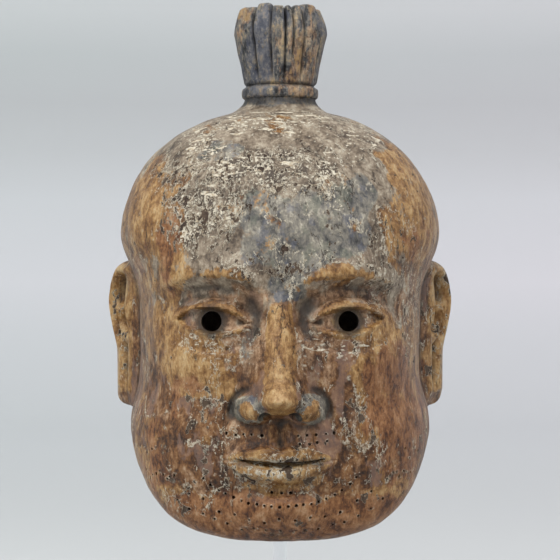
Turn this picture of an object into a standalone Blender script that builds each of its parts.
"""A gigaku dance mask: a bald wooden head with a bound topknot, on a clear rod and foot.

Metres, +Z up, and the face looks along -Y. The origin is the centre of the foot's underside.
The head is carved on a canon of 208 by 284 parts, from which every feature is drawn, so the
carving follows the head's own width, height and depth.
"""

import math

import bmesh
import bpy
import numpy as np
from mathutils import Matrix, Vector

# Head
HEAD_WIDTH = 0.211
HEAD_HEIGHT = 0.272
FACE_REACH = 0.122
SKULL_REACH = 0.108
WALL = 0.013
FACE_WALL = 0.017
CROWN_WALL = 0.015
NAPE_REACH = 0.094
NAPE_DROP = 0.028
NAPE_LEAN = 31.0
NECK_WIDTH = 0.136
NECK_FRONT = 0.062
PUPIL_DIAMETER = 0.0125
MOUTH_WIDTH = 0.056
MOUTH_GAP = 0.0048
MOUTH_SLOPE = 24.0

# Ears
EAR_HEIGHT = 0.098
EAR_WIDTH = 0.037
EAR_THICKNESS = 0.011
EAR_ROOT = 0.012
EAR_FLARE = 42.0
EAR_BEHIND = 0.008
EAR_RISE = -0.010
EAR_SPAN = 0.178

# Topknot
KNOT_HEIGHT = 0.066
KNOT_WIDTH = 0.060
KNOT_NECK_WIDTH = 0.046
KNOT_BAND_RISE = 0.0105
KNOT_BAND_HEIGHT = 0.0075
KNOT_BAND_WIDTH = 0.0500
KNOT_DEPTH_SHARE = 0.84
KNOT_LOCKS = 13

# Stand
ROD_DIAMETER = 0.009
ROD_HEAD_DIAMETER = 0.030
ROD_HEAD_HEIGHT = 0.008
FOOT_DIAMETER = 0.160
FOOT_HEIGHT = 0.012
FOOT_BEVEL = 0.0012
SOCKET_DEPTH = 0.008
CHIN_HEIGHT = 0.085
GAP = 0.0003

# The canon that the head is drawn on, in parts
CANON_HALF_WIDTH = 104.0
CANON_HALF_HEIGHT = 142.0
CANON_FACE = 124.0
CANON_SKULL = 112.0
WIDEST_LEVEL = 45.0
FRONT_LEVEL = 10.0
SKULL_LEVEL = 30.0
CROWN_SHIFT = -20.0
CHIN_SHIFT = -88.0
SQUARENESS = 2.5
WAIST_LEVEL = -8.0
WAIST_SPREAD = 50.0
WAIST_SHARE = 0.13

# Places of the features on the canon: distance from the middle, level above the eyes
EYE = (41.0, -1.0)
EYE_HALF = 21.0
BROW_LEVEL = 17.0
NOSE_TIP = -54.0
NOSE_BASE = -65.0
WING = (15.5, -55.5)
WING_REACH = (12.5, 11.0)
NOSTRIL = (8.8, -62.5)
NOSTRIL_FORWARD = 11.0
NOSTRIL_TILT = 40.0
MOUTH_LEVEL = -90.0
CHIN_LEVEL = -121.0

# Fineness of the meshes
HEAD_COLUMNS = 132
HEAD_ROWS = 104
HEAD_TRIANGLES = 5200
EAR_TRIANGLES = 400
KNOT_TRIANGLES = 880
CAVITY_COLUMNS = 32
CAVITY_ROWS = 18
FOOT_SIDES = 40
ROD_SIDES = 16

ACROSS = HEAD_WIDTH / 2 / CANON_HALF_WIDTH
UP = HEAD_HEIGHT / 2 / CANON_HALF_HEIGHT
FORWARD = FACE_REACH / CANON_FACE
BACKWARD = SKULL_REACH / CANON_SKULL
EYE_LINE = CHIN_HEIGHT + HEAD_HEIGHT / 2
EAR_PLANE = -CROWN_SHIFT * FORWARD


def clear_scene():
    for thing in list(bpy.data.objects):
        bpy.data.objects.remove(thing)


def material(name, colour, roughness, alpha=1.0):
    made = bpy.data.materials.new(name)
    made.use_nodes = True
    shader = made.node_tree.nodes["Principled BSDF"]
    shader.inputs["Base Color"].default_value = (*colour, 1.0)
    shader.inputs["Roughness"].default_value = roughness
    shader.inputs["Metallic"].default_value = 0.0
    shader.inputs["Alpha"].default_value = alpha
    made.diffuse_color = (*colour, alpha)
    return made


def new_object(name, mesh, finish=None):
    thing = bpy.data.objects.new(name, mesh)
    bpy.context.scene.collection.objects.link(thing)
    if finish:
        mesh.materials.append(finish)
    return thing


# Curves of the carving

def smooth(t):
    """Eases from 0 to 1 as t goes from 0 to 1."""
    t = np.clip(t, 0.0, 1.0)
    return t * t * (3.0 - 2.0 * t)


def mound(x, z, place, reach, power):
    """A rounded swelling of height 1 over an ellipse."""
    square = ((x - place[0]) / reach[0]) ** 2 + ((z - place[1]) / reach[1]) ** 2
    return np.clip(1.0 - square, 0.0, None) ** power


def bell(distance, width):
    """A soft ridge of height 1."""
    return np.exp(-((distance / width) ** 2))


def dome(t, power):
    """A quarter of a superellipse, from 1 at t = 0 to 0 at t = 1."""
    return np.clip(1.0 - np.clip(t, 0.0, 1.0) ** power, 0.0, None) ** (1.0 / power)


def spread(places, weights, count):
    """Picks count places, so that an equal share of the weights lies between each two."""
    total = np.concatenate([[0.0], np.cumsum(weights[1:])])
    return np.interp(np.linspace(0.0, total[-1], count), total, places)


# The head's outer form, on the canon

def head_section(z):
    """Half width, front reach, back reach and centre of the level section at z, in parts."""
    above = (z - WIDEST_LEVEL) / (CANON_HALF_HEIGHT - WIDEST_LEVEL)
    below = (WIDEST_LEVEL - z) / (CANON_HALF_HEIGHT + WIDEST_LEVEL)
    half = CANON_HALF_WIDTH * np.where(z > WIDEST_LEVEL, dome(above, 2.2), dome(below, 3.3))
    half = half * (1.0 - WAIST_SHARE * bell(((z - WAIST_LEVEL) / WAIST_SPREAD) ** 2, 1.0))

    centre = CROWN_SHIFT * smooth((z - 50.0) / (CANON_HALF_HEIGHT - 50.0))
    centre = centre + CHIN_SHIFT * smooth((-40.0 - z) / 102.0) ** 1.5

    above = (z - FRONT_LEVEL) / (CANON_HALF_HEIGHT - FRONT_LEVEL)
    below = (FRONT_LEVEL - z) / (CANON_HALF_HEIGHT + FRONT_LEVEL)
    front = (CANON_FACE + centre) * np.where(z > FRONT_LEVEL, dome(above, 2.3), dome(below, 5.0))

    above = (z - SKULL_LEVEL) / (CANON_HALF_HEIGHT - SKULL_LEVEL)
    below = (SKULL_LEVEL - z) / (CANON_HALF_HEIGHT + SKULL_LEVEL)
    nape = CANON_SKULL - 12.0 * smooth(below * 2.0)
    back = (nape - centre) * np.where(z > SKULL_LEVEL, dome(above, 2.2), dome(below, 4.0))
    return half, front, back, centre


def section_points(turn, half, front, back, centre):
    """Points of a level section: turn 0 is the front, and a positive turn goes towards +X."""
    side, ahead = np.abs(np.sin(turn)), np.abs(np.cos(turn))
    reach = np.where(np.cos(turn) > 0, front, back)
    squares = (side / half) ** SQUARENESS + (ahead / reach) ** SQUARENESS
    radius = squares ** (-1.0 / SQUARENESS)
    return radius * np.sin(turn), centre - radius * np.cos(turn)


# The carving of the face, as parts that stand forward of the head's form

def brow_carving(ax, z):
    arch = BROW_LEVEL + 12.0 * np.sin(math.pi * np.clip((ax + 4.0) / 90.0, 0.0, 1.0))
    off = z - arch
    strength = 6.5 * smooth((ax - 2.0) / 24.0) * (1.0 - smooth((ax - 62.0) / 28.0))
    ridge = strength * bell(off, np.where(off < 0, 4.4, 14.0))
    return ridge + 4.0 * mound(ax, z, (0.0, 66.0), (80.0, 54.0), 1.5)


def eye_carving(ax, z):
    socket = -12.0 * mound(ax, z, (41.0, 2.0), (37.0, 25.0), 1.5)
    corner = -4.5 * mound(ax, z, (17.0, 3.0), (12.0, 17.0), 1.6)
    ball = 12.5 * mound(ax, z, (EYE[0], EYE[1] + 1.0), (30.0, 20.0), 1.15)
    along = np.clip(1.0 - ((ax - EYE[0]) / EYE_HALF) ** 2, 0.0, None)
    level = EYE[1] + 0.06 * (ax - EYE[0])
    upper, lower = level + 7.8 * along ** 0.75, level - 7.2 * along ** 0.85
    inside = np.minimum(upper - z, z - lower)
    near = smooth((EYE_HALF + 6.0 - np.abs(ax - EYE[0])) / 6.0)
    opening = -2.4 * smooth((inside + 0.3) / 1.5)
    rim = 1.5 * bell(inside + 1.7, 1.6) * near
    lid = 1.2 * smooth((z - upper) / 2.0) * smooth((upper + 7.0 - z) / 2.0) * near
    fold = -1.6 * bell(z - upper - 7.4, 1.5) * near * smooth(along * 3.0)
    return socket + corner + ball + opening + rim + lid + fold


def nose_carving(ax, z):
    down = np.clip((22.0 - z) / (22.0 - NOSE_TIP), 0.0, 1.0)
    height = 2.0 + 23.0 * down ** 0.95
    width = 8.5 + 5.0 * down ** 2
    fall = 1.0 - smooth((NOSE_TIP + 4.0 - z) / (NOSE_TIP + 4.0 - NOSE_BASE))
    rise = smooth((30.0 - z) / 22.0)
    bridge = height * rise * np.exp(-(ax / (1.3 * width)) ** 2.5)
    tip = 6.5 * mound(ax, z, (0.0, NOSE_TIP + 1.0), (15.0, 15.0), 1.0)
    wing = 15.5 * mound(ax, z, WING, WING_REACH, 0.8)
    joined = np.logaddexp((bridge + tip) * fall / 2.0, wing / 2.0) * 2.0 - 2.0 * math.log(2.0)
    ring = np.sqrt(((ax - WING[0]) / WING_REACH[0]) ** 2 + ((z - WING[1]) / WING_REACH[1]) ** 2)
    groove = -1.6 * bell(ring - 1.12, 0.17) * smooth((ax - 15.0) / 8.0) * smooth((z + 66.0) / 12.0)
    return joined + groove


def mouth_carving(ax, z):
    muzzle = 6.0 * mound(ax, z, (0.0, -88.0), (52.0, 38.0), 1.8)
    line = MOUTH_LEVEL + 1.8 * (ax / 34.0) ** 2 - 0.8 * bell(ax, 5.0)
    reach = np.clip(1.0 - (ax / 35.0) ** 2, 0.0, None)
    upper = line + 0.01 + 12.0 * reach ** 0.8 - 1.9 * bell(ax, 4.0)
    lower = line - 0.01 - 13.5 * reach ** 0.7
    up, down = (z - line) / (upper - line), (line - z) / (line - lower)
    upper_lip = 5.4 * reach ** 0.6 * smooth((1.08 - up) / 0.40) * smooth((up + 0.50) / 0.9)
    lower_lip = 6.8 * reach ** 0.6 * smooth((1.10 - down) / 0.55) * smooth((down + 0.42) / 0.9)
    lips = np.where(z > line, upper_lip, lower_lip)
    lips = np.where(ax < 35.0, lips, 0.0)
    corner = -1.6 * mound(ax, z, (38.0, -89.0), (14.0, 13.0), 2.0)
    channel = (1.0 * bell(ax - 5.5, 2.4) - 1.8 * bell(ax, 3.2)) * smooth((-62.0 - z) / 4.0)
    channel = channel * smooth((z + 81.0) / 4.0)
    return muzzle + lips + corner + channel


def cheek_carving(ax, z):
    bone = 7.0 * mound(ax, z, (60.0, -24.0), (38.0, 34.0), 1.6)
    jowl = 4.0 * mound(ax, z, (66.0, -80.0), (38.0, 42.0), 1.6)
    drop = np.clip((-48.0 - z) / 48.0, 0.0, 1.0)
    fold_at = 26.0 + 19.0 * drop ** 1.1
    fold = -2.0 * bell(ax - fold_at, 3.8) * smooth(drop * 5.0) * smooth((0.9 - drop) * 2.5)
    under_lip = -4.0 * bell(z + 108.5, 4.6) * bell(ax, 26.0)
    chin = 8.0 * mound(ax, z, (0.0, CHIN_LEVEL), (35.0, 20.0), 1.5)
    temple = -3.0 * mound(ax, z, (88.0, 22.0), (22.0, 34.0), 1.6)
    return bone + jowl + fold + under_lip + chin + temple


def face_carving(x, z):
    """How far the carving stands forward of the head's form at x, z, all in parts."""
    ax = np.abs(x)
    return (brow_carving(ax, z) + eye_carving(ax, z) + nose_carving(ax, z)
            + mouth_carving(ax, z) + cheek_carving(ax, z))


def to_world(x, y, z):
    """Canon parts to metres, in the part's frame."""
    depth = np.where(y < 0, y * FORWARD, y * BACKWARD)
    return np.stack([x * ACROSS, depth + EAR_PLANE, z * UP + EYE_LINE], axis=-1)


def head_rows(count):
    """Levels of the head's sections, closer together over the face."""
    z = np.linspace(-CANON_HALF_HEIGHT + 0.05, CANON_HALF_HEIGHT - 0.05, 4000)
    half, front, _, _ = head_section(z)
    step = np.sqrt(np.gradient(z) ** 2 + 0.5 * np.gradient(half) ** 2 + 0.5 * np.gradient(front) ** 2)
    face = 1.0 + 1.6 * smooth((z + 118.0) / 12.0) * smooth((44.0 - z) / 12.0)
    return spread(z, step * face, count)


def head_columns(count):
    """Turns of the head's columns, closer together over the face."""
    turn = np.linspace(-math.pi, math.pi, 4001)
    ahead = np.abs(turn)
    weight = 1.0 + 2.2 * smooth((0.95 - ahead) / 0.3) - 0.5 * smooth((ahead - 2.2) / 0.3)
    return spread(turn, weight, count + 1)[:-1]


def head_rings(rows, columns):
    rings = []
    for z in rows:
        x, y = section_points(columns, *head_section(z))
        facing = smooth(np.cos(columns) * 3.0)
        forward = face_carving(x, z) * facing * UP / FORWARD
        rings.append(to_world(x, np.where(facing > 0, y - forward, y), z + 0.0 * x))
    return rings


# Meshes

def loft(name, rings):
    """A closed skin through rings of equally many points, each end filled round its middle."""
    shape = bmesh.new()
    loops = [[shape.verts.new(Vector(p)) for p in ring] for ring in rings]
    for low, high in zip(loops, loops[1:]):
        for i in range(len(low)):
            j = (i + 1) % len(low)
            shape.faces.new((low[i], low[j], high[j], high[i]))
    for loop in (loops[0], loops[-1]):
        middle = sum((v.co for v in loop), Vector()) / len(loop)
        tip = shape.verts.new(middle)
        for i in range(len(loop)):
            shape.faces.new((loop[i], loop[(i + 1) % len(loop)], tip))
    bmesh.ops.recalc_face_normals(shape, faces=shape.faces)
    mesh = bpy.data.meshes.new(name)
    shape.to_mesh(mesh)
    shape.free()
    return mesh


def turned(name, outline, sides):
    """A piece turned about the Z axis: outline is its (radius, height) pairs in order."""
    turns = np.linspace(0.0, 2.0 * math.pi, sides, endpoint=False)
    rings = []
    for radius, height in outline:
        x, y = radius * np.sin(turns), -radius * np.cos(turns)
        rings.append(np.stack([x, y, height + 0.0 * turns], axis=-1))
    return loft(name, rings)


def cavity_mesh():
    """The hollow: the head's own form, drawn in by the walls."""
    half_height = HEAD_HEIGHT / 2
    narrow = (HEAD_WIDTH / 2 - WALL) / (HEAD_WIDTH / 2)
    shallow = (FACE_REACH - FACE_WALL) / FACE_REACH
    short = (half_height - CROWN_WALL) / half_height
    steps = np.linspace(0.03, math.pi - 0.03, CAVITY_ROWS)
    turns = np.linspace(-math.pi, math.pi, CAVITY_COLUMNS, endpoint=False)
    rings = []
    for z in -CANON_HALF_HEIGHT * np.cos(steps):
        x, y = section_points(turns, *head_section(z))
        place = to_world(x * narrow, y * shallow, z * short + 0.0 * x)
        rings.append(place)
    return loft("cavity", rings)


def neck_mesh():
    """The opening under the jaw, from behind the chin to past the back edge."""
    turns = np.linspace(-math.pi, math.pi, CAVITY_COLUMNS, endpoint=False)
    reach = SKULL_REACH + NECK_FRONT
    rings = []
    for height in (CHIN_HEIGHT - WALL, EYE_LINE - HEAD_HEIGHT / 4):
        x, y = section_points(turns, NECK_WIDTH / 2, reach, reach, 0.0)
        rings.append(np.stack([x, y + reach - NECK_FRONT + EAR_PLANE, height + 0.0 * x], axis=-1))
    return loft("neck", rings)


def nape_mesh():
    """The block that is sawn off the nape, along a plane that leans out from the jaw to the skull."""
    size = 2.0 * (HEAD_HEIGHT + KNOT_HEIGHT)
    shape = bmesh.new()
    bmesh.ops.create_cube(shape, size=size)
    lean = Matrix.Rotation(math.radians(-NAPE_LEAN), 4, "X")
    place = Matrix.Translation((0.0, EAR_PLANE + NAPE_REACH, EYE_LINE - NAPE_DROP))
    shape.transform(place @ lean @ Matrix.Translation((0.0, size / 2, 0.0)))
    mesh = bpy.data.meshes.new("nape")
    shape.to_mesh(mesh)
    shape.free()
    return mesh


def add_ball(shape, place, radii, tilt):
    turned_by = Matrix.Rotation(math.radians(tilt), 4, "X")
    stretch = Matrix.Diagonal((*radii, 1.0))
    matrix = Matrix.Translation(place) @ turned_by @ stretch
    bmesh.ops.create_uvsphere(shape, u_segments=12, v_segments=8, radius=1.0, matrix=matrix)


def openings_mesh():
    """Cutters of the pierced pupils, the nostrils and the gap between the lips."""
    shape = bmesh.new()
    through = FACE_REACH + FACE_WALL
    quarter = Matrix.Rotation(math.pi / 2, 4, "X")
    for side in (-1, 1):
        x, y, z = to_world(side * EYE[0], -CANON_FACE * 0.85, EYE[1])
        bmesh.ops.create_cone(
            shape, cap_ends=True, segments=24, radius1=PUPIL_DIAMETER / 2, radius2=PUPIL_DIAMETER / 2,
            depth=through * 0.7, matrix=Matrix.Translation((x, y, z)) @ quarter)
        place = to_world(side * NOSTRIL[0], -CANON_FACE - NOSTRIL_FORWARD, NOSTRIL[1])
        add_ball(shape, place, (4.4 * ACROSS, 9.0 * UP, 4.4 * UP), NOSTRIL_TILT)
    add_lips_gap(shape)
    mesh = bpy.data.meshes.new("openings")
    shape.to_mesh(mesh)
    shape.free()
    return mesh


def add_lips_gap(shape):
    """The gap between the lips, which rises inwards, so that it doesn't show what is behind it."""
    across = np.linspace(-1.0, 1.0, 15)
    lens = 1.0 - across ** 2
    level = MOUTH_LEVEL * UP + EYE_LINE + 0.0014 * across ** 2
    top = [(a * MOUTH_WIDTH / 2, z + s * MOUTH_GAP * 0.4) for a, s, z in zip(across, lens, level)]
    low = [(a * MOUTH_WIDTH / 2, z - s * MOUTH_GAP * 0.6) for a, s, z in zip(across, lens, level)]
    outline = top + low[-2:0:-1]
    climb = math.tan(math.radians(MOUTH_SLOPE))
    lips_at = EAR_PLANE - FACE_REACH - 6.0 * UP
    ends = []
    for y in (lips_at - FACE_WALL, lips_at + 2.0 * FACE_WALL):
        ends.append([shape.verts.new((x, y, z + (y - lips_at) * climb)) for x, z in outline])
    for i in range(len(outline)):
        j = (i + 1) % len(outline)
        shape.faces.new((ends[0][i], ends[0][j], ends[1][j], ends[1][i]))
    caps = [shape.faces.new(ends[0][::-1]), shape.faces.new(ends[1])]
    bmesh.ops.recalc_face_normals(shape, faces=shape.faces)
    bmesh.ops.triangulate(shape, faces=caps)


# Ears

def ear_width(rise):
    """Width of the ear at a share of its height: a broad upper part over a long lobe."""
    upper = 0.79 + 0.21 * bell(rise - 0.72, 0.19)
    ends = dome((0.10 - rise) / 0.105, 3.0) * dome((rise - 0.80) / 0.205, 3.4)
    return EAR_WIDTH * upper * (0.08 + 0.92 * ends)


def ear_relief(share, rise):
    """Height of the carving on the ear's outer face, as a share of the ear's thickness."""
    from_edge = np.minimum(1.0 - share, (1.0 - rise) * 2.4)
    rim = 0.42 * bell(from_edge - 0.10, 0.10) * smooth((rise - 0.26) / 0.25)
    brim = 0.36 * bell(share - 0.22 + 1.2 * (rise - 0.80), 0.11)
    brim = brim * mound(share, rise, (0.2, 0.80), (0.5, 0.16), 1.0)
    hollow = -0.62 * mound(share, rise, (0.52, 0.64), (0.40, 0.27), 0.9)
    inner = 0.50 * bell(share - 0.50 - 0.30 * (rise - 0.5), 0.09) * smooth((rise - 0.30) / 0.1)
    inner = inner * smooth((0.78 - rise) / 0.12)
    flap = 0.42 * mound(share, rise, (0.14, 0.50), (0.20, 0.10), 1.0)
    groove = -0.26 * bell(share - 0.56, 0.09) * smooth((0.44 - rise) / 0.1) * smooth((rise - 0.10) / 0.1)
    lobe = 0.14 * mound(share, rise, (0.5, 0.14), (0.45, 0.14), 1.0)
    return rim + brim + hollow + inner + flap + groove + lobe


def ear_mesh(side, rows, around):
    """One ear, rooted in the head's side and flaring back and outwards."""
    flare = math.radians(EAR_FLARE)
    outward = np.array([side * math.sin(flare), math.cos(flare), 0.0])
    facing = np.array([side * math.cos(flare), -math.sin(flare), 0.0])
    root_z = EYE_LINE + EAR_RISE - EAR_HEIGHT / 2
    root = np.array([side * EAR_SPAN / 2, EAR_PLANE + EAR_BEHIND, root_z])
    angle = np.linspace(0.0, 2.0 * math.pi, around, endpoint=False)
    share, face_side = 0.5 - 0.5 * np.cos(angle), np.sin(angle)
    rings = []
    for rise in 0.5 - 0.5 * np.cos(np.linspace(0.09, math.pi - 0.09, rows)):
        width = ear_width(rise)
        along = -EAR_ROOT + share * (width + EAR_ROOT)
        body = 0.5 * np.sign(face_side) * np.abs(face_side) ** 0.6
        body = body * (0.55 + 0.45 * dome(abs(2.0 * rise - 1.0) ** 3, 2.0))
        carved = ear_relief(np.clip(along / width, 0.0, 1.0), rise) * np.clip(face_side, 0.0, 1.0) ** 0.4
        thick = EAR_THICKNESS * (body + carved)
        up = np.array([0.0, 0.0, rise * EAR_HEIGHT])
        rings.append(root + up + np.outer(along, outward) + np.outer(thick, facing))
    return loft("ear", rings)


# Topknot

def lock_grooves(turn):
    """How deep the grooves between the locks of hair are at a turn, from 0 to 1."""
    wander = turn + 0.10 * np.sin(2.0 * turn + 0.7) + 0.05 * np.sin(5.0 * turn)
    return np.abs(np.cos(0.5 * KNOT_LOCKS * wander)) ** 7


def lock_tops(turn):
    """How far each lock's end stands below the highest, as a share of the topknot's height."""
    wander = turn + 0.10 * np.sin(2.0 * turn + 0.7) + 0.05 * np.sin(5.0 * turn)
    lock = np.floor(0.5 * KNOT_LOCKS * wander / math.pi + 0.5)
    return 0.020 * (1.0 + np.sin(2.3 * lock + 0.6))


def knot_mesh(rows, around):
    turns = np.linspace(-math.pi, math.pi, around, endpoint=False)
    crown = CHIN_HEIGHT + HEAD_HEIGHT
    neck, widest, band = KNOT_NECK_WIDTH / 2, KNOT_WIDTH / 2, KNOT_BAND_WIDTH / 2
    band_top = KNOT_BAND_RISE + KNOT_BAND_HEIGHT / 2
    rings = []
    for height in np.linspace(-CROWN_WALL / 2, KNOT_HEIGHT, rows):
        foot = 0.20 * neck * np.clip(1.0 - height / (0.7 * KNOT_BAND_RISE), 0.0, 1.8) ** 2
        grown = np.clip((height - band_top) / (KNOT_HEIGHT - band_top), 0.0, 1.0)
        swell = neck + (widest - neck) * min(grown / 0.68, 1.0)
        close = 1.0 - 0.12 * np.clip((grown - 0.68) / 0.32, 0.0, 1.0) ** 1.6
        bulge = (band - neck) * dome(abs(height - KNOT_BAND_RISE) / (KNOT_BAND_HEIGHT / 2), 2.5)
        nip = -0.0011 * bell(height - band_top - 0.0008, 0.0012)
        depth = 0.10 * smooth((height - band_top) / (0.18 * KNOT_HEIGHT))
        radius = (swell * close + foot + bulge + nip) * (1.0 - depth * lock_grooves(turns))
        top = height - lock_tops(turns) * KNOT_HEIGHT * smooth((height / KNOT_HEIGHT - 0.55) / 0.45)
        rings.append(knot_ring(turns, radius, crown + top))
    last = radius
    for inward, rise in ((0.91, 0.020), (0.78, 0.022), (0.45, 0.006), (0.12, -0.016)):
        rings.append(knot_ring(turns, last * inward, crown + top + rise * KNOT_HEIGHT))
    return loft("topknot", rings)


def knot_ring(turns, radius, height):
    x, y = radius * np.sin(turns), -radius * np.cos(turns) * KNOT_DEPTH_SHARE
    return np.stack([x, y, height + 0.0 * x], axis=-1)


# Pieces

def cutter(mesh):
    thing = new_object(mesh.name, mesh)
    thing.hide_render = True
    thing.display_type = "WIRE"
    return thing


def carve(thing, tool, operation):
    step = thing.modifiers.new(tool.name, "BOOLEAN")
    step.object = tool
    step.operation = operation
    step.solver = "EXACT"


def thin_out(thing, triangles):
    """Leaves about that many triangles, the most of them where the carving is finest."""
    there = sum(len(p.vertices) - 2 for p in thing.data.polygons)
    step = thing.modifiers.new("fewer_faces", "DECIMATE")
    step.ratio = min(1.0, triangles / there)
    return thing


def make_mask(finish):
    """The head, ears and topknot, carved from one block and hollowed out."""
    rings = head_rings(head_rows(HEAD_ROWS), head_columns(HEAD_COLUMNS))
    head = thin_out(new_object("mask", loft("mask", rings), finish), HEAD_TRIANGLES)
    for side in (-1, 1):
        carve(head, thin_out(cutter(ear_mesh(side, 30, 32)), EAR_TRIANGLES), "UNION")
    carve(head, thin_out(cutter(knot_mesh(30, 104)), KNOT_TRIANGLES), "UNION")
    for tool in (nape_mesh(), cavity_mesh(), neck_mesh(), openings_mesh()):
        carve(head, cutter(tool), "DIFFERENCE")
    return head


def make_foot(finish):
    """A clear disc with a blind socket for the rod."""
    rim, bevel, socket = FOOT_DIAMETER / 2, FOOT_BEVEL, ROD_DIAMETER / 2 + GAP
    outline = [(rim - bevel, 0.0), (rim, bevel), (rim, FOOT_HEIGHT - bevel), (rim - bevel, FOOT_HEIGHT),
               (socket, FOOT_HEIGHT), (socket, FOOT_HEIGHT - SOCKET_DEPTH)]
    return new_object("stand_foot", turned("stand_foot", outline, FOOT_SIDES), finish)


def make_rod(finish):
    """A clear rod from the foot's socket to a rounded head under the mask's crown."""
    low = FOOT_HEIGHT - SOCKET_DEPTH + GAP
    top = CHIN_HEIGHT + HEAD_HEIGHT - CROWN_WALL - GAP
    radius, head = ROD_DIAMETER / 2, ROD_HEAD_DIAMETER / 2
    outline = [(radius, low)]
    for step in np.linspace(0.0, 1.0, 5):
        outline.append((radius + (head - radius) * step ** 2, top - ROD_HEAD_HEIGHT - head / 2 * (1.0 - step)))
    for turn in np.radians([25.0, 45.0, 65.0, 80.0]):
        outline.append((head * math.cos(turn), top - ROD_HEAD_HEIGHT * (1.0 - math.sin(turn))))
    return new_object("stand_rod", turned("stand_rod", outline, ROD_SIDES), finish)


def main():
    clear_scene()
    wood = material("aged_wood", (0.36, 0.27, 0.19), 0.6)
    clear = material("clear_acrylic", (0.90, 0.94, 0.95), 0.05, alpha=0.35)
    make_mask(wood)
    make_foot(clear)
    make_rod(clear)


main()
